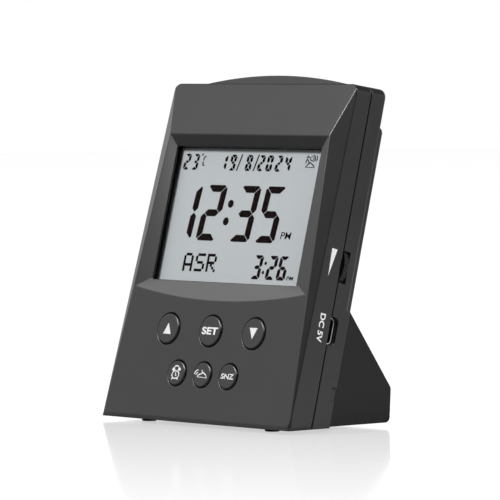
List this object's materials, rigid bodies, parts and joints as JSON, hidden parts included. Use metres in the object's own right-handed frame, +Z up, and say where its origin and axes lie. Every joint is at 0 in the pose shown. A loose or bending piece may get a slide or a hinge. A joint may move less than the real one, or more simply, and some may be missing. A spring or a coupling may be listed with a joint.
{
  "type": "desk clock",
  "caption": "Leaning desk clock: faceted case with a bevelled display, round keys, top push bar, side volume wheel and a wedge foot.",
  "frame": {"origin": "centre of the bounding box on the surface it stands on", "axes": "+Z up, the display faces -Y and leans back, +X to the viewer's right"},
  "size_m": [0.094, 0.052, 0.119],
  "materials": {
    "case_black": "fine matt moulded texture",
    "key_black": "fine matt with white printed signs",
    "bar_black": "fine matt",
    "frame_black": "matt",
    "window_clear": "clear polished",
    "display_glass": "reflective grey with dark segments",
    "guide_white": "milky",
    "rubber_pink": "matt",
    "board_green": "solder mask",
    "chip_black": "matt",
    "crystal_steel": "satin",
    "capacitor_dark": "sleeve",
    "switch_black": "matt",
    "plunger_white": "matt",
    "wheel_black": "matt with ribs",
    "pot_steel": "satin",
    "socket_steel": "satin",
    "tongue_black": "matt",
    "speaker_steel": "plated",
    "cone_grey": "paper",
    "magnet_steel": "plated",
    "screw_steel": "plated",
    "cell_wrap": "sleeve",
    "contact_steel": "plated",
    "lead_red": "insulated",
    "pad_rubber": "matt"
  },
  "bodies": {
    "case": {"front_shell": "case_black", "rear_shell": "case_black", "stand_housing": "case_black", "display_window": "window_clear", "lcd_panel": "display_glass", "lcd_frame": "frame_black", "light_guide": "guide_white", "zebra_strips": "rubber_pink", "main_board": "board_green", "controller_chip": "chip_black", "memory_chip": "chip_black", "clock_crystal": "crystal_steel", "capacitors": "capacitor_dark", "thermistor": "chip_black", "key_switches": "switch_black", "bar_switch": "switch_black", "volume_pot": "pot_steel", "usb_socket": "socket_steel", "usb_tongue": "tongue_black", "speaker_frame": "speaker_steel", "speaker_cone": "cone_grey", "speaker_magnet": "magnet_steel", "case_screws": "screw_steel", "board_screws": "screw_steel", "stand_screws": "screw_steel", "battery_cells": "cell_wrap", "battery_plates": "contact_steel", "battery_springs": "contact_steel", "battery_leads": "lead_red", "speaker_leads": "lead_red", "front_foot_pads": "pad_rubber", "rear_foot_pads": "pad_rubber"},
    "up_key": {"up_button": "key_black", "up_plunger": "plunger_white"},
    "set_key": {"set_button": "key_black", "set_plunger": "plunger_white"},
    "down_key": {"down_button": "key_black", "down_plunger": "plunger_white"},
    "alarm_key": {"alarm_button": "key_black", "alarm_plunger": "plunger_white"},
    "azan_key": {"azan_button": "key_black", "azan_plunger": "plunger_white"},
    "snooze_key": {"snooze_button": "key_black", "snooze_plunger": "plunger_white"},
    "top_bar": {"light_bar": "bar_black", "bar_plunger": "plunger_white"},
    "wheel": {"volume_wheel": "wheel_black"},
    "door": {"battery_door": "case_black"}
  },
  "joints": [
    {"name": "up_press", "type": "slide", "parent": "case", "child": "up_key", "axis": [0, 0.9677, -0.2521], "range_m": [0, 0.0006], "stiffness_N_per_m": 2500},
    {"name": "set_press", "type": "slide", "parent": "case", "child": "set_key", "axis": [0, 0.9677, -0.2521], "range_m": [0, 0.0006], "stiffness_N_per_m": 2500},
    {"name": "down_press", "type": "slide", "parent": "case", "child": "down_key", "axis": [0, 0.9677, -0.2521], "range_m": [0, 0.0006], "stiffness_N_per_m": 2500},
    {"name": "alarm_press", "type": "slide", "parent": "case", "child": "alarm_key", "axis": [0, 0.9677, -0.2521], "range_m": [0, 0.0006], "stiffness_N_per_m": 2500},
    {"name": "azan_press", "type": "slide", "parent": "case", "child": "azan_key", "axis": [0, 0.9677, -0.2521], "range_m": [0, 0.0006], "stiffness_N_per_m": 2500},
    {"name": "snooze_press", "type": "slide", "parent": "case", "child": "snooze_key", "axis": [0, 0.9677, -0.2521], "range_m": [0, 0.0006], "stiffness_N_per_m": 2500},
    {"name": "bar_press", "type": "slide", "parent": "case", "child": "top_bar", "axis": [0, -0.2521, -0.9677], "range_m": [0, 0.0012], "stiffness_N_per_m": 1500},
    {"name": "volume_turn", "type": "hinge", "parent": "case", "child": "wheel", "pos_m": [0.03802, 0.00039, 0.05482], "axis": [0, -0.9677, 0.2521], "range_deg": [-140, 140]},
    {"name": "door_lift", "type": "slide", "parent": "case", "child": "door", "axis": [0, 0.8074, 0.59], "range_m": [0, 0.04]}
  ]
}
